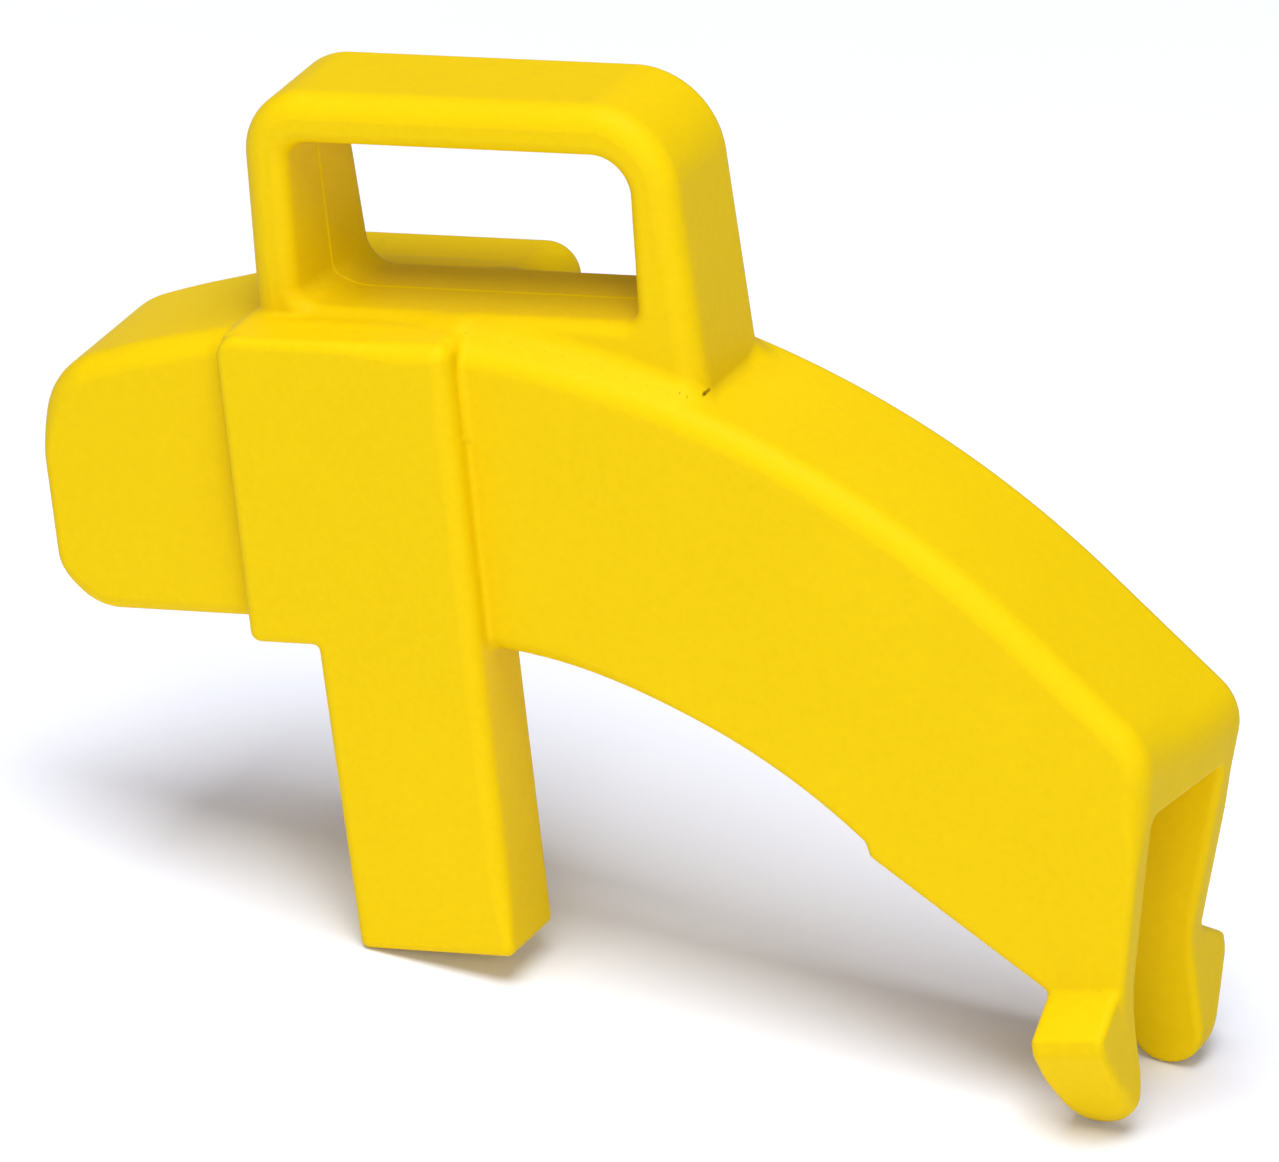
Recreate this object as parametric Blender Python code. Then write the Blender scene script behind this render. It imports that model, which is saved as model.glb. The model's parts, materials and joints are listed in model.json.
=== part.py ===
"""Snap-in locking clip with a pull handle, a one-piece plastic moulding.

The clip is drawn in its own axes first: X along the arched arm, Y across its
thickness with the mid-plane at Y = 0, and Z up along the locating leg from its
foot. One empty carries every piece. It leans them the way the clip leans when it
is set down on its leg and on the tips of its two snap prongs, and it puts the
world origin midway between the two catch barbs, which hold the clip in use.
Each region of the moulding is one closed solid, and neighbours keep JOIN_GAP.
"""
import math

import bmesh
import bpy
from mathutils import Matrix, Vector

MM = 0.001
JOIN_GAP = 0.1 * MM

# Arched arm: a slice of a ring, closed at the left by a blunt nose.
ARM_HALF_WIDTH = 4.5 * MM
TOP_ARC_CENTRE = (-1.4 * MM, -14.9 * MM)
TOP_ARC_RADIUS = 42.82 * MM
UNDER_ARC_CENTRE = (0.55 * MM, -14.05 * MM)
UNDER_ARC_RADIUS = 27.8 * MM
NOSE_X = -16.65 * MM
NOSE_BOTTOM_Z = 14.4 * MM
NOSE_TOP_ROUND = 3.7 * MM
NOSE_BOTTOM_ROUND = 2.6 * MM
ARM_TOP_EDGE_ROUND = 1.1 * MM
SMALL_EDGE_ROUND = 0.5 * MM

# Sloping end face of the arm: its X at the slot roof, and how far it leans. The
# top runs straight over the last stretch before it.
SLOT_ROOF_Z = 7.0 * MM
END_X_AT_ROOF = 33.8 * MM
END_SLOPE = 0.32
END_TOP_ROUND = 2.3 * MM
TOP_STRAIGHT_X = 29.0 * MM
TOP_STRAIGHT_SLOPE = -1.03

# Side pads, raised from both faces of the arm, and the leg under the front one.
FRONT_PAD_FACE_Y = 5.85 * MM
REAR_PAD_FACE_Y = 7.7 * MM
FRONT_PAD_EDGE_ROUND = 0.4 * MM
REAR_PAD_EDGE_ROUND = 0.9 * MM
PAD_LEFT_X = -7.15 * MM
FRONT_PAD_RIGHT_X = 3.95 * MM
REAR_PAD_RIGHT_X = 4.3 * MM
PAD_BOTTOM_Z = 13.9 * MM
PAD_TOP_Z = 27.9 * MM
PAD_DRAFT = 0.15 * MM
LEG_LEFT_X = -3.8 * MM
LEG_RIGHT_X = 3.5 * MM
LEG_BOTTOM_Z = -0.1 * MM
LEG_THICKNESS = 4.3 * MM
LEG_DRAFT = 0.15 * MM
LEG_TOP_Z = 13.4 * MM

# Pull handle: a flat loop that stands on the crown of the arm.
HANDLE_CENTRE_X = 4.05 * MM
HANDLE_HALF_DEPTH = 3.0 * MM
HANDLE_TOP_Z = 37.9 * MM
HANDLE_HALF_WIDTH_FOOT = 10.45 * MM
HANDLE_HALF_WIDTH_TOP = 10.0 * MM
HANDLE_LEFT_CORNER_ROUND = 3.0 * MM
HANDLE_RIGHT_CORNER_ROUND = 3.8 * MM
HANDLE_EDGE_ROUND = 0.7 * MM
WINDOW_BOTTOM_Z = 28.3 * MM
WINDOW_TOP_Z = 35.8 * MM
WINDOW_HALF_WIDTH_FOOT = 7.7 * MM
WINDOW_HALF_WIDTH_TOP = 8.3 * MM
WINDOW_CORNER_ROUND = 1.2 * MM

# Snap prongs: two plates that hang from the slot roof and end in rounded feet.
PRONG_INNER_Y = 3.0 * MM
PRONG_LEFT_X = 20.2 * MM
PRONG_SHOULDER_Z = 5.05 * MM
FOOT_LEFT_X = 27.8 * MM
FOOT_RIGHT_X = 31.2 * MM
FOOT_TOP_Z = -0.65 * MM
FOOT_KINK_Z = -1.2 * MM
FOOT_BOTTOM_Z = -7.0 * MM
FOOT_ROUND = 1.65 * MM
FOOT_TIP_Y = 3.9 * MM
TAPER_START_Z = -5.4 * MM

# Catch barbs: wedges on the outer faces of the feet.
BARB_TOP_Z = -0.7 * MM
BARB_RIDGE_Z = -2.1 * MM
BARB_RIDGE_Y = 6.65 * MM
BARB_LAND_Z = -2.7 * MM

ARC_STEP = 1.6 * MM
CORNER_SEGMENTS = 5
YELLOW = (0.90, 0.64, 0.01, 1.0)


def clear_scene():
    for obj in list(bpy.data.objects):
        bpy.data.objects.remove(obj, do_unlink=True)


def yellow_plastic(name):
    """Satin yellow moulding plastic for one piece."""
    material = bpy.data.materials.new(name)
    material.use_nodes = True
    shader = material.node_tree.nodes["Principled BSDF"]
    shader.inputs["Base Color"].default_value = YELLOW
    shader.inputs["Roughness"].default_value = 0.42
    shader.inputs["Metallic"].default_value = 0.0
    return material


def arc_z(centre, radius, x):
    """Height of an arc's upper half at x."""
    return centre[1] + math.sqrt(radius ** 2 - (x - centre[0]) ** 2)


def arc_run(centre, radius, x_start, x_end):
    """Points along an arc's upper half from x_start to x_end."""
    steps = max(2, round(abs(x_end - x_start) / ARC_STEP))
    points = []
    for i in range(steps + 1):
        x = x_start + (x_end - x_start) * i / steps
        points.append((x, arc_z(centre, radius, x)))
    return points


def end_face_x(z):
    """X of the sloping end face at height z."""
    return END_X_AT_ROOF + END_SLOPE * (z - SLOT_ROOF_Z)


def rounded_corner(before, corner, after, radius):
    """Points of the circular round that replaces a sharp outline corner."""
    b = (Vector(before) - Vector(corner)).normalized()
    a = (Vector(after) - Vector(corner)).normalized()
    half_angle = math.acos(max(-1.0, min(1.0, a.dot(b)))) / 2
    reach = radius / math.tan(half_angle)
    start = Vector(corner) + b * reach
    end = Vector(corner) + a * reach
    centre = Vector(corner) + (a + b).normalized() * (radius / math.sin(half_angle))
    points = []
    for i in range(CORNER_SEGMENTS + 1):
        t = i / CORNER_SEGMENTS
        ray = (start - centre).lerp(end - centre, t).normalized()
        points.append(tuple(centre + ray * radius))
    return points


def outline(corners):
    """Closed outline from (u, v) points, rounding those given as (u, v, radius)."""
    points = []
    count = len(corners)
    for i, corner in enumerate(corners):
        if len(corner) == 2:
            points.append(corner)
            continue
        before = corners[i - 1][:2]
        after = corners[(i + 1) % count][:2]
        points.extend(rounded_corner(before, corner[:2], after, corner[2]))
    return points


def prism(name, points, low, high, axis="Y"):
    """Solid with an XZ outline extruded along Y, or a YZ outline along X."""
    bm = bmesh.new()
    if axis == "Y":
        verts = [bm.verts.new((u, low, v)) for u, v in points]
        shift = Vector((0, high - low, 0))
    else:
        verts = [bm.verts.new((low, u, v)) for u, v in points]
        shift = Vector((high - low, 0, 0))
    face = bm.faces.new(verts)
    grown = bmesh.ops.extrude_face_region(bm, geom=[face])
    moved = [item for item in grown["geom"] if isinstance(item, bmesh.types.BMVert)]
    bmesh.ops.translate(bm, verts=moved, vec=shift)
    bmesh.ops.recalc_face_normals(bm, faces=bm.faces)
    mesh = bpy.data.meshes.new(name)
    bm.to_mesh(mesh)
    bm.free()
    obj = bpy.data.objects.new(name, mesh)
    bpy.context.collection.objects.link(obj)
    return obj


def finish_piece(obj, parent):
    """Give a piece its material, its smooth shading and its parent."""
    obj.data.materials.append(yellow_plastic("plastic_" + obj.name))
    obj.data.shade_smooth()
    obj.parent = parent
    return obj


def add_bevel(obj, width, by_weight=False):
    bevel = obj.modifiers.new("edge_round", "BEVEL")
    bevel.width = width
    bevel.segments = 2
    bevel.limit_method = "WEIGHT" if by_weight else "ANGLE"
    bevel.angle_limit = math.radians(50)
    bevel.miter_outer = "MITER_SHARP"
    bevel.use_clamp_overlap = True
    return bevel


def add_boolean(obj, cutter, operation):
    cutter.hide_render = True
    cutter.display_type = "WIRE"
    cut = obj.modifiers.new(operation.lower(), "BOOLEAN")
    cut.operation = operation
    cut.object = cutter
    cut.solver = "EXACT"
    return cut


def weight_edges(obj, weight_of):
    """Set each edge's bevel weight from the two places it joins."""
    mesh = obj.data
    layer = mesh.attributes.new("bevel_weight_edge", "FLOAT", "EDGE")
    for edge in mesh.edges:
        a = mesh.vertices[edge.vertices[0]].co
        b = mesh.vertices[edge.vertices[1]].co
        layer.data[edge.index].value = weight_of(a, b)


def arm_outline():
    """Outline of the arched arm, counter-clockwise from the nose's lower corner."""
    nose_z = arc_z(TOP_ARC_CENTRE, TOP_ARC_RADIUS, NOSE_X)
    slot_left_x = PRONG_LEFT_X - JOIN_GAP
    straight_z = arc_z(TOP_ARC_CENTRE, TOP_ARC_RADIUS, TOP_STRAIGHT_X)
    drop = TOP_STRAIGHT_SLOPE * (END_X_AT_ROOF - END_SLOPE * SLOT_ROOF_Z - TOP_STRAIGHT_X)
    end_z = (straight_z + drop) / (1.0 - TOP_STRAIGHT_SLOPE * END_SLOPE)
    corners = [(NOSE_X, NOSE_BOTTOM_Z, NOSE_BOTTOM_ROUND)]
    corners.append((PAD_LEFT_X, NOSE_BOTTOM_Z))
    corners += arc_run(UNDER_ARC_CENTRE, UNDER_ARC_RADIUS, UNDER_ARC_CENTRE[0], slot_left_x)
    corners.append((slot_left_x, SLOT_ROOF_Z))
    corners.append((END_X_AT_ROOF, SLOT_ROOF_Z))
    corners.append((end_face_x(end_z), end_z, END_TOP_ROUND))
    top_end = NOSE_X + NOSE_TOP_ROUND
    corners += arc_run(TOP_ARC_CENTRE, TOP_ARC_RADIUS, TOP_STRAIGHT_X, top_end)
    corners.append((NOSE_X, nose_z, NOSE_TOP_ROUND))
    return outline(corners)


def make_arm(parent):
    obj = prism("arch_arm", arm_outline(), -ARM_HALF_WIDTH, ARM_HALF_WIDTH)
    small = SMALL_EDGE_ROUND / ARM_TOP_EDGE_ROUND

    def weight_of(a, b):
        if abs(a.y - b.y) > MM * 0.01:
            return 0.0
        middle = (a + b) / 2
        on_roof = abs(middle.z - SLOT_ROOF_Z) < MM * 0.01
        if on_roof:
            return 0.0
        crown = arc_z(TOP_ARC_CENTRE, TOP_ARC_RADIUS, min(middle.x, END_X_AT_ROOF)) - middle.z
        return 1.0 if crown < 1.6 * MM and middle.z > SLOT_ROOF_Z else small

    weight_edges(obj, weight_of)
    add_bevel(obj, ARM_TOP_EDGE_ROUND, by_weight=True)
    return finish_piece(obj, parent)


def make_pad(name, side, face_y, right_x, edge_round, parent):
    """One raised pad; side is -1 for the front face and +1 for the rear face."""
    corner = edge_round * 1.25
    points = outline([
        (PAD_LEFT_X, PAD_BOTTOM_Z, corner),
        (right_x, PAD_BOTTOM_Z, corner),
        (right_x, PAD_TOP_Z, corner),
        (PAD_LEFT_X + PAD_DRAFT, PAD_TOP_Z, corner),
    ])
    near = side * (ARM_HALF_WIDTH + JOIN_GAP)
    far = side * face_y
    obj = prism(name, points, min(near, far), max(near, far))

    def weight_of(a, b):
        on_face = abs(a.y - far) < MM * 0.01 and abs(b.y - far) < MM * 0.01
        return 1.0 if on_face else 0.0

    weight_edges(obj, weight_of)
    add_bevel(obj, edge_round, by_weight=True)
    return finish_piece(obj, parent)


def make_leg(parent):
    top = LEG_TOP_Z
    points = [
        (LEG_LEFT_X, LEG_BOTTOM_Z),
        (LEG_RIGHT_X, LEG_BOTTOM_Z),
        (LEG_RIGHT_X + LEG_DRAFT, top),
        (LEG_LEFT_X - LEG_DRAFT, top),
    ]
    obj = prism("locating_leg", points, -FRONT_PAD_FACE_Y, LEG_THICKNESS - FRONT_PAD_FACE_Y)

    def weight_of(a, b):
        at_top = a.z > top - 0.01 * MM and b.z > top - 0.01 * MM
        return 0.0 if at_top else 1.0

    weight_edges(obj, weight_of)
    add_bevel(obj, SMALL_EDGE_ROUND, by_weight=True)
    return finish_piece(obj, parent)


def make_handle(parent):
    seat_radius = TOP_ARC_RADIUS + JOIN_GAP
    left = HANDLE_CENTRE_X - HANDLE_HALF_WIDTH_FOOT
    right = HANDLE_CENTRE_X + HANDLE_HALF_WIDTH_FOOT
    corners = arc_run(TOP_ARC_CENTRE, seat_radius, left, right)
    top_half = HANDLE_HALF_WIDTH_TOP
    corners.append((HANDLE_CENTRE_X + top_half, HANDLE_TOP_Z, HANDLE_RIGHT_CORNER_ROUND))
    corners.append((HANDLE_CENTRE_X - top_half, HANDLE_TOP_Z, HANDLE_LEFT_CORNER_ROUND))
    obj = prism("pull_handle", outline(corners), -HANDLE_HALF_DEPTH, HANDLE_HALF_DEPTH)

    window = outline([
        (HANDLE_CENTRE_X - WINDOW_HALF_WIDTH_FOOT, WINDOW_BOTTOM_Z, WINDOW_CORNER_ROUND),
        (HANDLE_CENTRE_X + WINDOW_HALF_WIDTH_FOOT, WINDOW_BOTTOM_Z, WINDOW_CORNER_ROUND),
        (HANDLE_CENTRE_X + WINDOW_HALF_WIDTH_TOP, WINDOW_TOP_Z, WINDOW_CORNER_ROUND),
        (HANDLE_CENTRE_X - WINDOW_HALF_WIDTH_TOP, WINDOW_TOP_Z, WINDOW_CORNER_ROUND),
    ])
    reach = HANDLE_HALF_DEPTH + 2 * MM
    cutter = prism("handle_window_cutter", window, -reach, reach)
    cutter.parent = parent
    add_boolean(obj, cutter, "DIFFERENCE")
    add_bevel(obj, HANDLE_EDGE_ROUND)
    return finish_piece(obj, parent)


def foot_corners(top_z):
    """Right side, rounded bottom and left side of a foot, from its top down."""
    return [
        (FOOT_RIGHT_X, top_z),
        (FOOT_LEFT_X, top_z),
        (FOOT_LEFT_X, FOOT_BOTTOM_Z, FOOT_ROUND),
        (FOOT_RIGHT_X, FOOT_BOTTOM_Z, FOOT_ROUND),
    ]


def make_prong(name, side, parent):
    """One snap prong, with its origin on its bending axis under the slot roof."""
    half_thick = (ARM_HALF_WIDTH - PRONG_INNER_Y) / 2
    top_z = SLOT_ROOF_Z - JOIN_GAP
    axis_z = top_z - half_thick
    axis_y = side * (PRONG_INNER_Y + half_thick)
    hinge = Vector(((PRONG_LEFT_X + END_X_AT_ROOF) / 2, axis_y, axis_z))
    plate = outline([
        (PRONG_LEFT_X, top_z),
        (PRONG_LEFT_X, PRONG_SHOULDER_Z, 0.3 * MM),
        (FOOT_LEFT_X, FOOT_TOP_Z),
        (FOOT_LEFT_X, FOOT_BOTTOM_Z, FOOT_ROUND),
        (FOOT_RIGHT_X, FOOT_BOTTOM_Z, FOOT_ROUND),
        (FOOT_RIGHT_X, FOOT_KINK_Z),
        (end_face_x(top_z), top_z),
    ])
    low = min(side * PRONG_INNER_Y, side * ARM_HALF_WIDTH)
    obj = prism(name, plate, low, low + 2 * half_thick)

    section = [(side * PRONG_INNER_Y - side * MM, FOOT_BOTTOM_Z - MM)]
    section.append((side * FOOT_TIP_Y, FOOT_BOTTOM_Z - 0.02 * MM))
    section.append((side * (ARM_HALF_WIDTH + 0.05 * MM), TAPER_START_Z))
    for i in range(9):
        turn = math.pi * i / 8
        y = axis_y + side * (half_thick + 0.05 * MM) * math.cos(turn)
        section.append((y, axis_z + half_thick * math.sin(turn)))
    section.append((side * PRONG_INNER_Y - side * MM, axis_z))
    keep = prism(name + "_section", section, PRONG_LEFT_X - MM, END_X_AT_ROOF + MM, axis="X")
    keep.parent = parent
    add_boolean(obj, keep, "INTERSECT")

    obj.data.transform(Matrix.Translation(-hinge))
    obj.location = hinge
    return finish_piece(obj, parent)


def make_barb(name, side, prong):
    """One catch barb, a wedge that rides on the foot of its prong."""
    inner = side * (ARM_HALF_WIDTH + JOIN_GAP)
    block = outline(foot_corners(BARB_TOP_Z))
    low = min(inner, side * BARB_RIDGE_Y)
    obj = prism(name, block, low, low + BARB_RIDGE_Y - ARM_HALF_WIDTH - JOIN_GAP)

    ramp_start = 0.15 * MM
    section = [
        (inner - side * MM, BARB_TOP_Z),
        (inner + side * ramp_start, BARB_TOP_Z - 0.1 * MM),
        (side * BARB_RIDGE_Y, BARB_RIDGE_Z),
        (side * BARB_RIDGE_Y, BARB_LAND_Z),
        (inner, TAPER_START_Z + 0.1 * MM),
        (inner - side * MM, TAPER_START_Z + 0.1 * MM),
    ]
    keep = prism(name + "_section", section, FOOT_LEFT_X - MM, FOOT_RIGHT_X + MM, axis="X")
    keep.parent = prong.parent
    add_boolean(obj, keep, "INTERSECT")

    obj.data.transform(Matrix.Translation(-prong.location))
    return finish_piece(obj, prong)


def standing_lean():
    """Lean that brings the leg's left foot edge and the prong tips level."""
    leg = Vector((LEG_LEFT_X + SMALL_EDGE_ROUND, LEG_BOTTOM_Z + SMALL_EDGE_ROUND))
    tip = Vector(((FOOT_LEFT_X + FOOT_RIGHT_X) / 2, FOOT_BOTTOM_Z + FOOT_ROUND))
    span = tip - leg
    rise = (FOOT_ROUND - SMALL_EDGE_ROUND) / span.length
    return math.asin(rise) + math.atan2(-span.y, span.x)


def catch_centre():
    """Point midway between the two barbs, level with the tops of their ramps."""
    return Vector(((FOOT_LEFT_X + FOOT_RIGHT_X) / 2, 0.0, BARB_TOP_Z))


def main():
    clear_scene()
    carrier = bpy.data.objects.new("clip_axes", None)
    bpy.context.collection.objects.link(carrier)
    lean = Matrix.Rotation(-standing_lean(), 3, "Y")
    carrier.rotation_euler = lean.to_euler()
    carrier.location = -(lean @ catch_centre())

    make_arm(carrier)
    make_handle(carrier)
    make_pad("front_side_pad", -1, FRONT_PAD_FACE_Y, FRONT_PAD_RIGHT_X, FRONT_PAD_EDGE_ROUND, carrier)
    make_pad("rear_side_pad", 1, REAR_PAD_FACE_Y, REAR_PAD_RIGHT_X, REAR_PAD_EDGE_ROUND, carrier)
    make_leg(carrier)
    for label, side in (("front", -1), ("rear", 1)):
        prong = make_prong(label + "_snap_prong", side, carrier)
        make_barb(label + "_catch_barb", side, prong)


main()
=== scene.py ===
"""Looks for the snap-in locking clip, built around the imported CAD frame.

The clip is one moulding, so its surface is one closed form, held as a signed
distance: negative inside the plastic, in millimetres. Outlines of straight sides,
arcs and rounded corners are extruded, cut and joined with fillets. The form is
then meshed on a grid, and each region of the moulding becomes its own closed
piece. Neighbouring pieces share the points of their common edge, so no seam shows.

Lengths are in millimetres in the clip's own axes, as the CAD has them: X along the
arm, Y across it from the mid-plane, Z up along the leg. The stage's lengths are in
metres in the frame's axes.
"""
import json
import math

import bpy
import numpy as np
from mathutils import Matrix, Vector


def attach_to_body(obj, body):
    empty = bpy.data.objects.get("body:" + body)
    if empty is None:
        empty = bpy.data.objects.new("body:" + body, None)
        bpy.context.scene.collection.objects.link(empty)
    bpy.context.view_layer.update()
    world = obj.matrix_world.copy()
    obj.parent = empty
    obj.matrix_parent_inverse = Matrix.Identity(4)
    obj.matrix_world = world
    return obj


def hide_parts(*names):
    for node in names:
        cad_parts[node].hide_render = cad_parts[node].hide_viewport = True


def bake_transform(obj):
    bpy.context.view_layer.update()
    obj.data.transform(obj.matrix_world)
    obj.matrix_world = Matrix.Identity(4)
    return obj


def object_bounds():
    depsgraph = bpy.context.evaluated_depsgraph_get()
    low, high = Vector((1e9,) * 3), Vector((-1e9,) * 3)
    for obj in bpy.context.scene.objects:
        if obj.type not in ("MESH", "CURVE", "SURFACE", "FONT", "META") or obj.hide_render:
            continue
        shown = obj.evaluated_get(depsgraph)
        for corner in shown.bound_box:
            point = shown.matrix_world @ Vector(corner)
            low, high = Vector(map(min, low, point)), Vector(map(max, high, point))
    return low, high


MM = 0.001

# Arched arm and the plate of the prongs
ARM_HALF_WIDTH = 4.5
TOP_ARC_CENTRE = (-1.4, -14.9)
TOP_ARC_RADIUS = 42.82
UNDER_ARC_CENTRE = (0.55, -14.05)
UNDER_ARC_RADIUS = 27.8
NOSE_X = -16.63
NOSE_BOTTOM_Z = 14.4
NOSE_TOP_ROUND = 3.7
NOSE_BOTTOM_ROUND = 2.6
CROWN_FRONT_ROUND = 1.1
CROWN_REAR_ROUND = 0.7
NOSE_REAR_ROUND = 1.3
SMALL_EDGE_ROUND = 0.4
LOWER_FRONT_ROUND = 0.8
TOP_STRAIGHT_X = 29.0
TOP_STRAIGHT_SLOPE = -1.01
TOP_STRAIGHT_ROUND = 10.0
UNDER_STEP_ROUND = 1.0
END_X_AT_ROOF = 33.78
END_SLOPE = 0.32
END_TOP_ROUND = 2.3
FRONT_END_X_AT_ROOF = 33.05
FRONT_END_SLOPE = 0.222
FRONT_END_TOP_ROUND = 2.8

# Where the arm's edge rounds change: depths below the crown, and X
CROWN_ROUND_DEPTHS = (1.6, 3.6)
LOWER_ROUND_DEPTHS = (7.5, 9.5)
LOWER_ROUND_ENDS = (13.0, 6.0)
NOSE_ROUND_ENDS = (-6.0, -11.0)

# Side pads and the locating leg
FRONT_PAD_FACE_Y = 5.85
REAR_PAD_FACE_Y = 7.69
PAD_LEFT_X = -7.15
FRONT_PAD_RIGHT_X = 3.95
REAR_PAD_RIGHT_X = 4.3
PAD_BOTTOM_Z = 13.9
PAD_TOP_Z = 27.9
PAD_DRAFT = 0.15
PAD_BOTTOM_ROUND = 0.5
FRONT_PAD_TOP_LEFT_ROUND = 1.0
FRONT_PAD_TOP_RIGHT_ROUND = 0.7
FRONT_PAD_INNER_TOP_ROUND = 0.7
REAR_PAD_TOP_LEFT_ROUND = 1.2
REAR_PAD_TOP_RIGHT_ROUND = 1.5
FRONT_PAD_LEFT_ROUND = 0.45
FRONT_PAD_RIGHT_ROUND = 0.8
REAR_PAD_EDGE_ROUND = 0.9
PAD_ROUND_ENDS = (-2.0, 2.0)
PAD_ROOT_Y = 4.0
REAR_PAD_ROOT_Y = 3.4
PAD_TOP_ROOT_Y = 2.0
PAD_TOP_ROOT_Z = 23.0
FRONT_PAD_INSET = 0.5
REAR_PAD_INSET = 0.8
LEG_LEFT_X = -3.8
LEG_RIGHT_X = 3.5
LEG_DRAFT = 0.15
LEG_BOTTOM_Z = -0.08
LEG_THICKNESS = 4.3
LEG_ROOT_Z = 16.0
LEG_ROOT_ROUND = 0.3
LEG_LEFT_BEND_ROUND = 0.25
LEG_RIGHT_BEND_ROUND = 20.0
LEG_ROUND_HEIGHTS = (0.5, 3.5)

# Pull handle
HANDLE_CENTRE_X = 4.05
HANDLE_HALF_DEPTH = 3.0
HANDLE_TOP_Z = 37.9
HANDLE_ROOT_Z = 22.0
HANDLE_ROOT_ROUND = 0.5
HANDLE_HALF_WIDTH_FOOT = 10.45
HANDLE_LEFT_FLARE = 0.35
HANDLE_HALF_WIDTH_TOP = 10.0
HANDLE_LEFT_CORNER_ROUND = 3.0
HANDLE_RIGHT_CORNER_ROUND = 3.8
HANDLE_FRONT_ROUND = 1.1
HANDLE_REAR_ROUND = 0.5
WINDOW_EDGE_ROUND = 0.65
RIM_BLEND = 0.4
WINDOW_BOTTOM_Z = 28.3
WINDOW_TOP_Z = 35.7
WINDOW_RIGHT_FOOT_X = 11.65
WINDOW_RIGHT_TOP_X = 12.1
WINDOW_FRONT_LEFT_FOOT_X = -4.35
WINDOW_FRONT_LEFT_TOP_X = -3.9
WINDOW_FRONT_LEFT_ROUND = 0.8
WINDOW_REAR_LEFT_FOOT_X = -3.3
WINDOW_REAR_LEFT_TOP_X = -3.6
WINDOW_REAR_LEFT_ROUND = 1.3
WINDOW_RIGHT_FOOT_ROUND = 0.7
WINDOW_RIGHT_TOP_ROUND = 1.6

# Snap prongs, their feet and their catch barbs
SLOT_ROOF_Z = 7.0
SLOT_HALF_WIDTH = 3.0
SLOT_ROOF_FRONT_ROUND = 0.5
SLOT_ROOF_REAR_ROUND = 0.3
SLOT_EDGE_ROUND = 0.35
SLOT_FRONT_TIP_ROUND = 0.8
SLOT_REAR_TIP_ROUND = 0.3
SHOULDER_X = 20.1
SHOULDER_Z = 5.05
SHOULDER_DRAFT = 0.15
SHOULDER_TOP_ROUND = 0.2
SHOULDER_BOTTOM_ROUND = 0.3
PRONG_TIP_INSET = 0.6
PRONG_TIP_DEPTH = 2.9
PRONG_TIP_ROUND = 0.3
FOOT_LEFT_X = 27.8
FOOT_RIGHT_X = 31.2
FOOT_TOP_Z = -0.65
FOOT_BOTTOM_Z = -6.98
FOOT_ROUND = 1.65
FOOT_TIP_Y = 4.1
FOOT_EDGE_ROUND = 0.35
FRONT_FOOT_TIP_ROUND = 1.0
REAR_FOOT_TIP_ROUND = 0.35
FOOT_ROOT_HEIGHT = 0.9
FOOT_ROOT_ROUND = 0.2
FOOT_ROOT_Y = 1.5
FOOT_RUN_ON = 1.5
FOOT_RUN_ON_ROUND = 0.3
CATCH_X = 29.5
CATCH_Z = -0.7
BARB_RIDGE_Z = -1.95
BARB_LAND_Z = -2.7
BARB_RIDGE_Y = 6.64
BARB_ROOT_INSET = 0.35
BARB_LAND_ROUND = 1.0
BARB_RIDGE_ROUND = 0.2
FOOT_TILT = 0.08
REAR_BARB_DROP = 0.3

# Heights where the rounds of the feet and the drop of the rear barb change
FOOT_ROUND_HEIGHTS = (FOOT_BOTTOM_Z + 3.2, FOOT_BOTTOM_Z + 1.0)
SLOT_ROUND_HEIGHTS = (FOOT_BOTTOM_Z + 2.6, FOOT_BOTTOM_Z + 0.6)
BARB_DROP_HEIGHTS = (FOOT_BOTTOM_Z + 1.0, FOOT_BOTTOM_Z + 4.0)

# Band on each side of the mid-plane where front edges change to rear ones
MIDDLE_REACH = 1.0

# Fillets between the regions, and where the handle's fillet changes
PAD_FILLET = 0.3
FOOT_FILLET = 0.25
HANDLE_END_FILLET = 0.3
HANDLE_FACE_FILLET = 1.0
FACE_FILLET_REACH = (1.6, 3.4)
RIGHT_FILLET_ENDS = (0.0, 4.0)
LEFT_FILLET_ENDS = (-6.5, -8.0)

# Parting line of the mould inside the handle's window
PARTING_STEP = 0.022
PARTING_HALF_WIDTH = 0.05

# Grid that the form is meshed on
GRID_STEP = 0.16
PARTING_GRID_STEP = 0.06
PARTING_GRID_REACH = 0.24
GRID_MARGIN = 0.6
GRID_END_Z = 13.0

# Steps towards a corner's round and towards the surface, and how slopes are measured
TANGENT_ROUNDS = 12
SETTLE_ROUNDS = 3
SLOPE_REACH = 0.01
LEAST_SLOPE_SQUARED = 0.25


# ---------------------------------------------------------------- outlines

class Side:
    """A straight side from a to b, with the plastic on its left."""

    def __init__(self, a, b):
        self.a = np.array(a, float)
        self.b = np.array(b, float)
        along = (self.b - self.a) / np.linalg.norm(self.b - self.a)
        self.out = np.array((along[1], -along[0]))

    def offset(self, point):
        return float((point - self.a) @ self.out)

    def outward(self, point):
        return self.out

    def between(self, start, end):
        return Side(start, end)

    def distance(self, u, v):
        run = self.b - self.a
        du = u - self.a[0]
        dv = v - self.a[1]
        t = np.clip((du * run[0] + dv * run[1]) / (run @ run), 0.0, 1.0)
        reach = np.hypot(du - t * run[0], dv - t * run[1])
        return np.copysign(reach, du * self.out[0] + dv * self.out[1])


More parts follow.
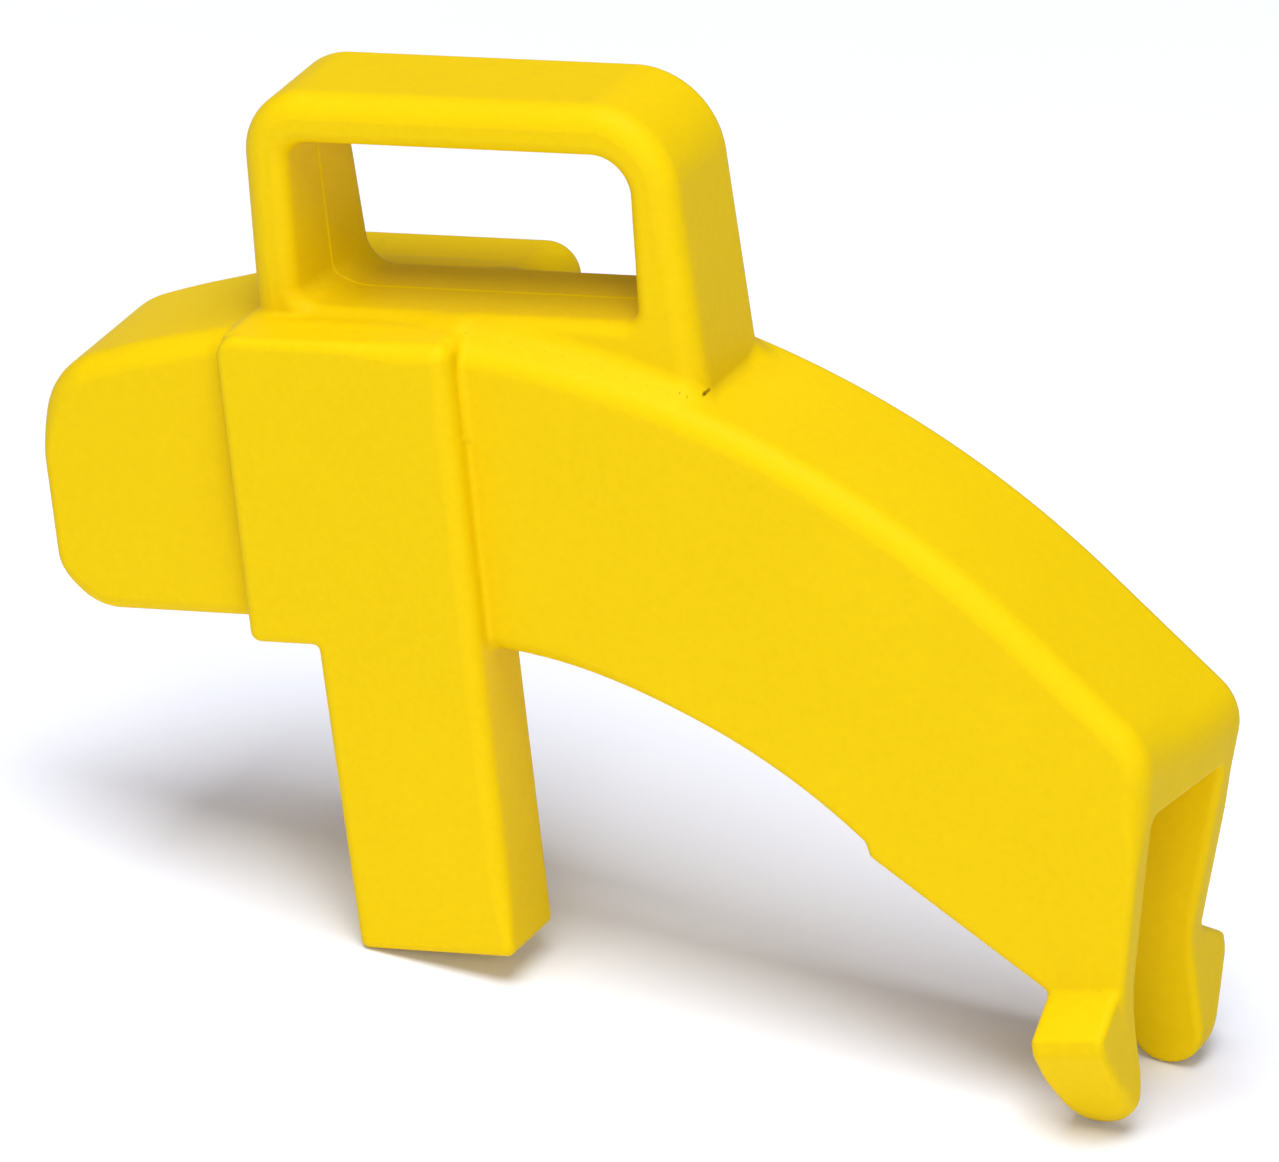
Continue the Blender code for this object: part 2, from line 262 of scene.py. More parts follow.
class Arc:
    """An arc round a centre; turn is +1 with the plastic inside the circle, else -1."""

    def __init__(self, centre, radius, turn, start=None, end=None):
        self.centre = np.array(centre, float)
        self.radius = radius
        self.turn = turn
        if start is not None:
            self.ends = [np.array(start, float), np.array(end, float)]
            rays = [(end_point - self.centre) / radius for end_point in self.ends]
            self.rays = rays
            middle = rays[0] + rays[1]
            self.middle = middle / np.linalg.norm(middle)
            self.spread = float(rays[0] @ self.middle)

    def offset(self, point):
        return self.turn * (float(np.linalg.norm(point - self.centre)) - self.radius)

    def outward(self, point):
        ray = point - self.centre
        return self.turn * ray / np.linalg.norm(ray)

    def between(self, start, end):
        return Arc(self.centre, self.radius, self.turn, start, end)

    def distance(self, u, v):
        du = u - self.centre[0]
        dv = v - self.centre[1]
        ray = np.hypot(du, dv)
        best = self.turn * (ray - self.radius)
        on_arc = du * self.middle[0] + dv * self.middle[1] >= ray * self.spread
        ends = []
        for end_point, end_ray in zip(self.ends, self.rays):
            eu = u - end_point[0]
            ev = v - end_point[1]
            side = self.turn * (eu * end_ray[0] + ev * end_ray[1])
            ends.append(np.copysign(np.hypot(eu, ev), side))
        nearest = np.where(np.abs(ends[0]) < np.abs(ends[1]), ends[0], ends[1])
        return np.where(on_arc, best, nearest)


class Outline:
    """Closed outline, counter-clockwise, from corners (u, v, round).

    A round is positive on an outer corner and negative on an inner one. The side
    after a corner is straight unless arcs holds an Arc for that corner's number.
    """

    def __init__(self, corners, arcs=None):
        arcs = arcs or {}
        count = len(corners)
        points = [np.array(corner[:2], float) for corner in corners]
        sides = []
        for i in range(count):
            sides.append(arcs.get(i) or Side(points[i], points[(i + 1) % count]))
        rounds = []
        for i in range(count):
            rounds.append(self.corner_round(sides[i - 1], sides[i], points[i], corners[i][2]))
        self.parts = []
        for i in range(count):
            self.parts.append(rounds[i])
            self.parts.append(sides[i].between(rounds[i].ends[1], rounds[(i + 1) % count].ends[0]))

    @staticmethod
    def corner_round(before, after, corner, radius):
        """The arc of that radius that touches both sides."""
        centre = corner - radius * (before.outward(corner) + after.outward(corner))
        for _ in range(TANGENT_ROUNDS):
            miss = np.array((before.offset(centre) + radius, after.offset(centre) + radius))
            slopes = np.array((before.outward(centre), after.outward(centre)))
            centre = centre - np.linalg.solve(slopes, miss)
        start = centre + radius * before.outward(centre)
        end = centre + radius * after.outward(centre)
        return Arc(centre, abs(radius), 1 if radius > 0 else -1, start, end)

    def distance(self, u, v):
        best = self.parts[0].distance(u, v)
        for part in self.parts[1:]:
            other = part.distance(u, v)
            best = np.where(np.abs(other) < np.abs(best), other, best)
        return best


# ---------------------------------------------------------------- solid forms

def smoothstep(low, high, value):
    t = np.clip((value - low) / (high - low), 0.0, 1.0)
    return t * t * (3.0 - 2.0 * t)


def front_to_rear(y, front, rear):
    """A value that changes from the front half of the clip to the rear one."""
    return front + (rear - front) * smoothstep(-MIDDLE_REACH, MIDDLE_REACH, y)


def both(a, b, radius):
    """Where two forms overlap, with that round on the outer edge they make."""
    u = a + radius
    v = b + radius
    edge = np.hypot(np.maximum(u, 0.0), np.maximum(v, 0.0))
    return np.minimum(np.maximum(u, v), 0.0) + edge - radius


def joined(a, b, radius):
    """Two forms as one, with a fillet of that radius in the crease between them."""
    u = np.maximum(radius - a, 0.0)
    v = np.maximum(radius - b, 0.0)
    return np.maximum(radius, np.minimum(a, b)) - np.hypot(u, v)


def slab(flat, across, low, high, edge_round):
    """An outline's distance extruded from low to high, with rounded edges."""
    half = (high - low) / 2
    return both(flat, np.abs(across - (low + high) / 2) - half, edge_round)


def top_arc_z(x):
    return TOP_ARC_CENTRE[1] + math.sqrt(TOP_ARC_RADIUS ** 2 - (x - TOP_ARC_CENTRE[0]) ** 2)


def under_arc_z(x):
    return UNDER_ARC_CENTRE[1] + math.sqrt(UNDER_ARC_RADIUS ** 2 - (x - UNDER_ARC_CENTRE[0]) ** 2)


def end_face_x(z):
    """The arm's far end, at its rear edge."""
    return END_X_AT_ROOF + END_SLOPE * (z - SLOT_ROOF_Z)


def crown_height(x, z):
    """Height above the arc along the top of the arm."""
    return np.hypot(x - TOP_ARC_CENTRE[0], z - TOP_ARC_CENTRE[1]) - TOP_ARC_RADIUS


def plate_outline(end_x_at_roof, end_slope, end_top_round):
    """Arm and prongs seen from the side; the prongs end buried in their feet.

    The end face leans by end_slope and meets the straight stretch of the top at
    (end_x, end_z).
    """
    straight_z = top_arc_z(TOP_STRAIGHT_X)
    drop = TOP_STRAIGHT_SLOPE * (end_x_at_roof - end_slope * SLOT_ROOF_Z - TOP_STRAIGHT_X)
    end_z = (straight_z + drop) / (1.0 - TOP_STRAIGHT_SLOPE * end_slope)
    end_x = end_x_at_roof + end_slope * (end_z - SLOT_ROOF_Z)
    buried_z = FOOT_TOP_Z - PRONG_TIP_DEPTH
    buried_x = FOOT_LEFT_X + PRONG_TIP_INSET
    buried_end_x = end_x_at_roof + end_slope * (buried_z - SLOT_ROOF_Z)
    slant = (FOOT_TOP_Z - SHOULDER_Z) / (FOOT_LEFT_X - SHOULDER_X - SHOULDER_DRAFT)
    slant_z = FOOT_TOP_Z + slant * (buried_x - FOOT_LEFT_X)
    corners = [
        (NOSE_X, NOSE_BOTTOM_Z, NOSE_BOTTOM_ROUND),
        (PAD_LEFT_X, NOSE_BOTTOM_Z, -UNDER_STEP_ROUND),
        (UNDER_ARC_CENTRE[0], under_arc_z(UNDER_ARC_CENTRE[0]), UNDER_STEP_ROUND),
        (SHOULDER_X, under_arc_z(SHOULDER_X), -SHOULDER_TOP_ROUND),
        (SHOULDER_X + SHOULDER_DRAFT, SHOULDER_Z, SHOULDER_BOTTOM_ROUND),
        (buried_x, slant_z, -PRONG_TIP_ROUND),
        (buried_x, buried_z, PRONG_TIP_ROUND),
        (buried_end_x, buried_z, PRONG_TIP_ROUND),
        (end_x, end_z, end_top_round),
        (TOP_STRAIGHT_X, straight_z, TOP_STRAIGHT_ROUND),
        (NOSE_X, top_arc_z(NOSE_X), NOSE_TOP_ROUND),
    ]
    arcs = {
        2: Arc(UNDER_ARC_CENTRE, UNDER_ARC_RADIUS, -1),
        9: Arc(TOP_ARC_CENTRE, TOP_ARC_RADIUS, 1),
    }
    return Outline(corners, arcs)


def leg_outline():
    """Leg from its foot up to where it is buried."""
    return Outline([
        (LEG_LEFT_X, LEG_BOTTOM_Z, SMALL_EDGE_ROUND),
        (LEG_RIGHT_X, LEG_BOTTOM_Z, SMALL_EDGE_ROUND),
        (LEG_RIGHT_X + LEG_DRAFT, LEG_ROOT_Z, LEG_ROOT_ROUND),
        (LEG_LEFT_X - LEG_DRAFT, LEG_ROOT_Z, LEG_ROOT_ROUND),
    ])


def pad_and_leg_outline():
    """Front pad with the leg below it, as one face."""
    return Outline([
        (LEG_LEFT_X, LEG_BOTTOM_Z, SMALL_EDGE_ROUND),
        (LEG_RIGHT_X, LEG_BOTTOM_Z, SMALL_EDGE_ROUND),
        (LEG_RIGHT_X + LEG_DRAFT, PAD_BOTTOM_Z, -LEG_RIGHT_BEND_ROUND),
        (FRONT_PAD_RIGHT_X, PAD_TOP_Z, FRONT_PAD_TOP_RIGHT_ROUND),
        (PAD_LEFT_X + PAD_DRAFT, PAD_TOP_Z, FRONT_PAD_TOP_LEFT_ROUND),
        (PAD_LEFT_X, PAD_BOTTOM_Z, PAD_BOTTOM_ROUND),
        (LEG_LEFT_X - LEG_DRAFT, PAD_BOTTOM_Z, -LEG_LEFT_BEND_ROUND),
    ])


def pad_outline(right_x, bottom_z, right_round, left_round):
    """A pad from bottom_z up, with those two rounds at its top."""
    return Outline([
        (PAD_LEFT_X, bottom_z, PAD_BOTTOM_ROUND),
        (right_x, bottom_z, PAD_BOTTOM_ROUND),
        (right_x, PAD_TOP_Z, right_round),
        (PAD_LEFT_X + PAD_DRAFT, PAD_TOP_Z, left_round),
    ])


def handle_outline():
    left_foot = HANDLE_CENTRE_X - HANDLE_HALF_WIDTH_FOOT - HANDLE_LEFT_FLARE
    right_foot = HANDLE_CENTRE_X + HANDLE_HALF_WIDTH_FOOT
    left_top = HANDLE_CENTRE_X - HANDLE_HALF_WIDTH_TOP
    right_top = HANDLE_CENTRE_X + HANDLE_HALF_WIDTH_TOP
    return Outline([
        (left_foot, HANDLE_ROOT_Z, HANDLE_ROOT_ROUND),
        (right_foot, HANDLE_ROOT_Z, HANDLE_ROOT_ROUND),
        (right_top, HANDLE_TOP_Z, HANDLE_RIGHT_CORNER_ROUND),
        (left_top, HANDLE_TOP_Z, HANDLE_LEFT_CORNER_ROUND),
    ])


def window_outline(left_foot_x, left_top_x, left_round):
    return Outline([
        (left_foot_x, WINDOW_BOTTOM_Z, left_round),
        (WINDOW_RIGHT_FOOT_X, WINDOW_BOTTOM_Z, WINDOW_RIGHT_FOOT_ROUND),
        (WINDOW_RIGHT_TOP_X, WINDOW_TOP_Z, WINDOW_RIGHT_TOP_ROUND),
        (left_top_x, WINDOW_TOP_Z, left_round),
    ])


def foot_side_outline():
    """Foot seen from the side; its top is buried in the prong."""
    top_z = FOOT_TOP_Z + FOOT_ROOT_HEIGHT
    return Outline([
        (FOOT_LEFT_X, FOOT_BOTTOM_Z, FOOT_ROUND),
        (FOOT_RIGHT_X, FOOT_BOTTOM_Z, FOOT_ROUND),
        (FOOT_RIGHT_X, top_z, FOOT_ROOT_ROUND),
        (FOOT_LEFT_X, top_z, FOOT_ROOT_ROUND),
    ])


def foot_end_outline():
    """Foot and barb seen along the arm, as distance from the mid-plane and height.

    It runs on below the foot, whose side outline shapes the bottom, and into the
    slot, which is cut out later.
    """
    buried_y = ARM_HALF_WIDTH - BARB_ROOT_INSET
    slope = (CATCH_Z - BARB_RIDGE_Z) / (BARB_RIDGE_Y - ARM_HALF_WIDTH)
    top_z = FOOT_TOP_Z + FOOT_ROOT_HEIGHT
    low_z = FOOT_BOTTOM_Z - FOOT_RUN_ON
    rise = BARB_LAND_Z - FOOT_BOTTOM_Z
    tip_y = FOOT_TIP_Y - FOOT_RUN_ON * (BARB_RIDGE_Y - FOOT_TIP_Y) / rise
    return Outline([
        (FOOT_ROOT_Y, low_z, FOOT_RUN_ON_ROUND),
        (tip_y, low_z, FOOT_RUN_ON_ROUND),
        (BARB_RIDGE_Y, BARB_LAND_Z, BARB_LAND_ROUND),
        (BARB_RIDGE_Y, BARB_RIDGE_Z, BARB_RIDGE_ROUND),
        (buried_y, CATCH_Z + slope * (ARM_HALF_WIDTH - buried_y), -FOOT_ROOT_ROUND),
        (buried_y, top_z, FOOT_ROOT_ROUND),
        (FOOT_ROOT_Y, top_z, FOOT_ROOT_ROUND),
    ])


class ClipForm:
    """Signed distance of the whole moulding."""

    def __init__(self):
        self.rear_plate = plate_outline(END_X_AT_ROOF, END_SLOPE, END_TOP_ROUND)
        self.front_plate = plate_outline(FRONT_END_X_AT_ROOF, FRONT_END_SLOPE, FRONT_END_TOP_ROUND)
        self.pad_and_leg = pad_and_leg_outline()
        self.leg = leg_outline()
        rounds = (FRONT_PAD_INNER_TOP_ROUND, FRONT_PAD_INNER_TOP_ROUND)
        self.front_pad_top = pad_outline(FRONT_PAD_RIGHT_X, PAD_TOP_ROOT_Z, *rounds)
        rounds = (REAR_PAD_TOP_RIGHT_ROUND, REAR_PAD_TOP_LEFT_ROUND)
        self.rear_pad = pad_outline(REAR_PAD_RIGHT_X, PAD_BOTTOM_Z, *rounds)
        self.rear_pad_top = pad_outline(REAR_PAD_RIGHT_X, PAD_TOP_ROOT_Z, *rounds)
        self.handle = handle_outline()
        self.front_window = window_outline(
            WINDOW_FRONT_LEFT_FOOT_X, WINDOW_FRONT_LEFT_TOP_X, WINDOW_FRONT_LEFT_ROUND)
        self.rear_window = window_outline(
            WINDOW_REAR_LEFT_FOOT_X, WINDOW_REAR_LEFT_TOP_X, WINDOW_REAR_LEFT_ROUND)
        self.foot_side = foot_side_outline()
        self.foot_end = foot_end_outline()

    def plate(self, x, y, z):
        """The arm and the plate of both prongs, before the slot is cut."""
        depth = -crown_height(x, z)
        at_nose = smoothstep(*NOSE_ROUND_ENDS, x)
        rear = CROWN_REAR_ROUND + (NOSE_REAR_ROUND - CROWN_REAR_ROUND) * at_nose
        crown = front_to_rear(y, CROWN_FRONT_ROUND, rear)
        edge = crown + (SMALL_EDGE_ROUND - crown) * smoothstep(*CROWN_ROUND_DEPTHS, depth)
        lower = smoothstep(*LOWER_ROUND_DEPTHS, depth) * smoothstep(*LOWER_ROUND_ENDS, x)
        lower = lower * smoothstep(MIDDLE_REACH, -MIDDLE_REACH, y)
        edge = edge + (LOWER_FRONT_ROUND - SMALL_EDGE_ROUND) * lower
        rear_flat = self.rear_plate.distance(x, z)
        front_flat = self.front_plate.distance(x, z)
        flat = front_flat + (rear_flat - front_flat) * smoothstep(-ARM_HALF_WIDTH, ARM_HALF_WIDTH, y)
        return slab(flat, y, -ARM_HALF_WIDTH, ARM_HALF_WIDTH, edge)

    def feet(self, x, y, z):
        """Both feet with their barbs; the front ridge tilts and the rear barb is lower."""
        drop = front_to_rear(y, 0.0, REAR_BARB_DROP)
        drop = drop * smoothstep(*BARB_DROP_HEIGHTS, z)
        in_front = smoothstep(MIDDLE_REACH, -MIDDLE_REACH, y)
        end_z = z + drop - FOOT_TILT * (x - FOOT_LEFT_X) * in_front
        end = self.foot_end.distance(np.abs(y), end_z)
        tip = front_to_rear(y, FRONT_FOOT_TIP_ROUND, REAR_FOOT_TIP_ROUND)
        low = smoothstep(*FOOT_ROUND_HEIGHTS, z)
        edge = FOOT_EDGE_ROUND + (tip - FOOT_EDGE_ROUND) * low
        return both(self.foot_side.distance(x, z), end, edge)

    def arm_and_prongs(self, x, y, z):
        solid = joined(self.plate(x, y, z), self.feet(x, y, z), FOOT_FILLET)
        corner = front_to_rear(y, SLOT_ROOF_FRONT_ROUND, SLOT_ROOF_REAR_ROUND)
        roof = both(np.abs(y) - SLOT_HALF_WIDTH, z - SLOT_ROOF_Z, corner)
        slot = np.maximum(roof, SHOULDER_X - x)
        tip = front_to_rear(y, SLOT_FRONT_TIP_ROUND, SLOT_REAR_TIP_ROUND)
        low = smoothstep(*SLOT_ROUND_HEIGHTS, z)
        return both(solid, -slot, SLOT_EDGE_ROUND + (tip - SLOT_EDGE_ROUND) * low)

    def front_pad_and_leg(self, x, y, z):
        face = -FRONT_PAD_FACE_Y
        inside = face + FRONT_PAD_INSET
        right = smoothstep(*PAD_ROUND_ENDS, x) * smoothstep(*LEG_ROUND_HEIGHTS, z)
        edge = FRONT_PAD_LEFT_ROUND + (FRONT_PAD_RIGHT_ROUND - FRONT_PAD_LEFT_ROUND) * right
        solid = slab(self.pad_and_leg.distance(x, z), y, face, -PAD_ROOT_Y, edge)
        leg = slab(self.leg.distance(x, z), y, inside, face + LEG_THICKNESS, SMALL_EDGE_ROUND)
        top = slab(self.front_pad_top.distance(x, z), y, inside, -PAD_TOP_ROOT_Y, edge)
        return np.minimum(np.minimum(solid, leg), top)

    def rear_pad_solid(self, x, y, z):
        edge = REAR_PAD_EDGE_ROUND
        inside = REAR_PAD_FACE_Y - REAR_PAD_INSET
        solid = slab(self.rear_pad.distance(x, z), y, REAR_PAD_ROOT_Y, REAR_PAD_FACE_Y, edge)
        top = slab(self.rear_pad_top.distance(x, z), y, PAD_TOP_ROOT_Y, inside, edge)
        return np.minimum(solid, top)

    def handle_solid(self, x, y, z):
        """The handle; a step and a ridge across its window are the parting line."""
        outer = self.handle.distance(x, z)
        step = PARTING_STEP * np.tanh(y / PARTING_HALF_WIDTH)
        ridge = PARTING_STEP * np.exp(-((y / PARTING_HALF_WIDTH) ** 2))
        back = np.clip(0.5 + y / (2 * HANDLE_HALF_DEPTH), 0.0, 1.0)
        window = self.front_window.distance(x, z)
        window = window + (self.rear_window.distance(x, z) - window) * back + step + ridge
        share = smoothstep(-RIM_BLEND, RIM_BLEND, np.abs(outer) - np.abs(window))
        rim = front_to_rear(y, HANDLE_FRONT_ROUND, HANDLE_REAR_ROUND)
        edge = rim + (WINDOW_EDGE_ROUND - rim) * share
        flat = np.maximum(outer, -window)
        return slab(flat, y, -HANDLE_HALF_DEPTH, HANDLE_HALF_DEPTH, edge)

    def distance(self, x, y, z):
        body = joined(self.arm_and_prongs(x, y, z), self.front_pad_and_leg(x, y, z), PAD_FILLET)
        body = joined(body, self.rear_pad_solid(x, y, z), PAD_FILLET)
        on_face = smoothstep(*FACE_FILLET_REACH, np.abs(y))
        past_post = smoothstep(*RIGHT_FILLET_ENDS, x) + smoothstep(*LEFT_FILLET_ENDS, x)
        fillet = HANDLE_END_FILLET + (HANDLE_FACE_FILLET - HANDLE_END_FILLET) * on_face * past_post
        return joined(body, self.handle_solid(x, y, z), fillet)


# ---------------------------------------------------------------- regions

PIECES = {
    1: ("arm", ["arch_arm"], "root"),
    2: ("handle", ["pull_handle"], "root"),
    3: ("front_pad", ["front_side_pad"], "root"),
    4: ("rear_pad", ["rear_side_pad"], "root"),
    5: ("leg", ["locating_leg"], "root"),
    6: ("front_prong", ["front_snap_prong"], "front_prong"),
    7: ("rear_prong", ["rear_snap_prong"], "rear_prong"),
    8: ("front_barb", ["front_catch_barb"], "front_prong"),
    9: ("rear_barb", ["rear_catch_barb"], "rear_prong"),
}
ARM, HANDLE, FRONT_PAD, REAR_PAD, LEG, FRONT_PRONG, REAR_PRONG, FRONT_BARB, REAR_BARB = range(1, 10)
REGION_MARGIN = 0.12
PRONG_TOP_Z = SLOT_ROOF_Z - 0.4
PAD_REGION_X = FRONT_PAD_RIGHT_X + 1.0
PAD_REGION_Y = HANDLE_HALF_DEPTH + 0.15
LEG_REGION_X = FRONT_PAD_RIGHT_X + 2.0
LEG_TOP_Z = LEG_ROOT_Z - 2.5
BARB_TOP_Z = CATCH_Z + 0.5


def regions(x, y, z):
    """Number of the region that each point of the plastic belongs to."""
    rear = y > 0
    side = np.abs(y)
    above = (crown_height(x, z) > REGION_MARGIN) & (x < SHOULDER_X)
    label = np.where(above, HANDLE, ARM)
    by_pads = (x < PAD_REGION_X) & (z > LEG_TOP_Z)
    on_pad = by_pads & (side > ARM_HALF_WIDTH + REGION_MARGIN)
    on_pad = on_pad | (by_pads & above & (side > PAD_REGION_Y) & (z < WINDOW_BOTTOM_Z))
    label = np.where(on_pad, np.where(rear, REAR_PAD, FRONT_PAD), label)
    label = np.where((x < LEG_REGION_X) & (z < LEG_TOP_Z), LEG, label)
    on_prong = (x > SHOULDER_X) & (z < PRONG_TOP_Z)
    label = np.where(on_prong, np.where(rear, REAR_PRONG, FRONT_PRONG), label)
    on_barb = on_prong & (side > ARM_HALF_WIDTH) & (z < BARB_TOP_Z)
    return np.where(on_barb, np.where(rear, REAR_BARB, FRONT_BARB), label)


# ---------------------------------------------------------------- meshing

def grid_line(low, high, step):
    count = max(2, int(math.ceil((high - low) / step)) + 1)
    return np.linspace(low, high, count)


def grid_lines():
    """Coordinates of the grid along X, Y and Z, finer across the parting line."""
    xs = grid_line(NOSE_X - GRID_MARGIN, end_face_x(GRID_END_Z) + GRID_MARGIN, GRID_STEP)
    front = grid_line(-BARB_RIDGE_Y - GRID_MARGIN, -PARTING_GRID_REACH, GRID_STEP)
    middle = grid_line(-PARTING_GRID_REACH, PARTING_GRID_REACH, PARTING_GRID_STEP)
    rear = grid_line(PARTING_GRID_REACH, REAR_PAD_FACE_Y + GRID_MARGIN, GRID_STEP)
    ys = np.concatenate((front[:-1], middle, rear[1:]))
    zs = grid_line(FOOT_BOTTOM_Z - GRID_MARGIN, HANDLE_TOP_Z + GRID_MARGIN, GRID_STEP)
    return xs, ys, zs


def shifted(values, cell_shape, corner):
    """The grid's values at one corner of every cell."""
    return values[tuple(slice(c, c + n) for c, n in zip(corner, cell_shape))]


def cell_points(lines, depth, label):
    """One point in each cell where the label changes, and where such cells are."""
    shape = tuple(n - 1 for n in label.shape)
    corners = [(i, j, k) for i in (0, 1) for j in (0, 1) for k in (0, 1)]
    low = shifted(label, shape, corners[0]).copy()
    high = low.copy()
    for corner in corners[1:]:
        other = shifted(label, shape, corner)
        np.minimum(low, other, out=low)
        np.maximum(high, other, out=high)
    cells = np.argwhere(low != high)
    outer_sum = np.zeros((len(cells), 3))
    outer_count = np.zeros(len(cells))
    inner_sum = np.zeros((len(cells), 3))
    inner_count = np.zeros(len(cells))
    for corner in corners:
        for axis in range(3):
            if corner[axis]:
                continue
            start = cells + np.array(corner)
            end = start.copy()
            end[:, axis] += 1
            a = tuple(start.T)
            b = tuple(end.T)
            la = label[a]
            lb = label[b]
            outer = (la == 0) != (lb == 0)
            inner = (la != lb) & ~outer
            da = depth[a].astype(float)
            db = depth[b].astype(float)
            t = np.where(outer, da / np.where(outer, da - db, 1.0), 0.5)
            point = np.stack([lines[n][start[:, n]] for n in range(3)], axis=1)
            point[:, axis] += t * (lines[axis][end[:, axis]] - lines[axis][start[:, axis]])
            outer_sum[outer] += point[outer]
            outer_count += outer
            inner_sum[inner] += point[inner]
            inner_count += inner
    on_skin = outer_count > 0
    points = np.where(on_skin[:, None], outer_sum, inner_sum)
    points /= np.where(on_skin, outer_count, np.maximum(inner_count, 1))[:, None]
    number = np.full(shape, -1, np.int64)
    number[tuple(cells.T)] = np.arange(len(cells))
    return points, on_skin, number


def faces_between(label, number):
    """Quads between points of different label, each with its two labels."""
    quads = []
    below = []
    above = []
    for axis in range(3):
        u = (axis + 1) % 3
        v = (axis + 2) % 3
        first = [slice(None)] * 3
        second = [slice(None)] * 3
        first[axis] = slice(0, -1)
        second[axis] = slice(1, None)
        for across in (u, v):
            first[across] = slice(1, -1)
            second[across] = slice(1, -1)
        la = label[tuple(first)]
        lb = label[tuple(second)]
        place = np.argwhere(la != lb)
        origin = place.copy()
        origin[:, u] += 1
        origin[:, v] += 1
        ring = []
        for du, dv in ((-1, -1), (0, -1), (0, 0), (-1, 0)):
            cell = origin.copy()
            cell[:, u] += du
            cell[:, v] += dv
            ring.append(number[tuple(cell.T)])
        quads.append(np.stack(ring, axis=1))
        below.append(la[tuple(place.T)])
        above.append(lb[tuple(place.T)])
    return np.concatenate(quads), np.concatenate(below), np.concatenate(above)


def slopes(form, points):
    """Gradient of the form's distance at each point."""
    out = np.zeros_like(points)
    for axis in range(3):
        step = np.zeros(3)
        step[axis] = SLOPE_REACH
        ahead = form.distance(*(points + step).T)
        behind = form.distance(*(points - step).T)
        out[:, axis] = (ahead - behind) / (2 * SLOPE_REACH)
    return out


def settle_on_skin(form, points):
    """Move points onto the zero surface, and return them with their outward normals."""
    for _ in range(SETTLE_ROUNDS):
        depth = form.distance(*points.T)
        slope = slopes(form, points)
        steep = np.maximum((slope ** 2).sum(1), LEAST_SLOPE_SQUARED)
        move = np.clip(depth / steep, -GRID_STEP, GRID_STEP)
        points = points - slope * move[:, None]
    slope = slopes(form, points)
    return points, slope / np.maximum(np.linalg.norm(slope, axis=1), 1e-9)[:, None]


# ---------------------------------------------------------------- pieces

def clip_to_world(record):
    """Matrix from the clip's own axes in millimetres to the row frame in metres."""
    joints = {joint["name"]: joint for joint in record["behaviour"]["joints"]}
    mounts = {mount["name"]: mount for mount in record["mounts"]}
    along = Vector(joints["front_prong_flex"]["axis"]).normalized()
    across = Vector((0.0, 1.0, 0.0))
    up = along.cross(across).normalized()
    turn = Matrix((along, across, up)).transposed()
    catch = Vector((CATCH_X, 0.0, CATCH_Z)) * MM
    place = Vector(mounts["snap_catch_pair"]["pos_m"]) - turn @ catch
    return Matrix.Translation(place) @ turn.to_4x4() @ Matrix.Scale(MM, 4)


def make_piece(name, points, normals, quads, on_outside, material):
    """One closed piece; its outside is shaded by the form's own normals."""
    used, local = np.unique(quads, return_inverse=True)
    local = local.reshape(quads.shape)
    mesh = bpy.data.meshes.new(name)
    mesh.from_pydata(points[used].tolist(), [], local.tolist())
    mesh.shade_smooth()
    corners = normals[used][local]
    run_a = points[quads[:, 2]] - points[quads[:, 0]]
    run_b = points[quads[:, 3]] - points[quads[:, 1]]
    flat = np.cross(run_a, run_b)
    flat /= np.maximum(np.linalg.norm(flat, axis=1), 1e-18)[:, None]
    corners[~on_outside] = flat[~on_outside][:, None, :]
    mesh.normals_split_custom_set(corners.reshape(-1, 3).tolist())
    mesh.materials.append(material)
    obj = bpy.data.objects.new(name, mesh)
    bpy.context.scene.collection.objects.link(obj)
    return obj


def build_clip(frame, material):
    form = ClipForm()
    lines = grid_lines()
    x, y, z = np.meshgrid(*lines, indexing="ij", sparse=True)
    depth = form.distance(x, y, z).astype(np.float32)
    label = np.where(depth < 0, regions(x, y, z), 0).astype(np.int8)
    points, on_skin, number = cell_points(lines, depth, label)
    quads, below, above = faces_between(label, number)
    del depth, label, number
    normals = np.zeros_like(points)
    normals[:, 2] = 1.0
    points[on_skin], normals[on_skin] = settle_on_skin(form, points[on_skin])

    to_world = clip_to_world(frame["record"])
    turn = np.array(to_world.to_3x3()) / MM
    points = points @ (turn.T * MM) + np.array(to_world.translation)
    normals = normals @ turn.T
    pieces = {}
    for region, (name, nodes, body) in PIECES.items():
        own_below = below == region
        own_above = above == region
        faces = np.concatenate((quads[own_below], quads[own_above][:, ::-1]))
        outside = np.concatenate((above[own_below] == 0, below[own_above] == 0))
        piece = make_piece(name, points, normals, faces, outside, material)
        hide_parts(*nodes)
        pieces[name] = (piece, body)
    return pieces, to_world


def attach(pieces):
    """Every piece but the prongs rides rigidly on its body's empty; the prongs' placement is baked
    into their meshes.
    """
    for name, (piece, body) in pieces.items():
        if not name.endswith("_prong"):
            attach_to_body(piece, body)
            continue
        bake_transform(piece)


# ---------------------------------------------------------------- material

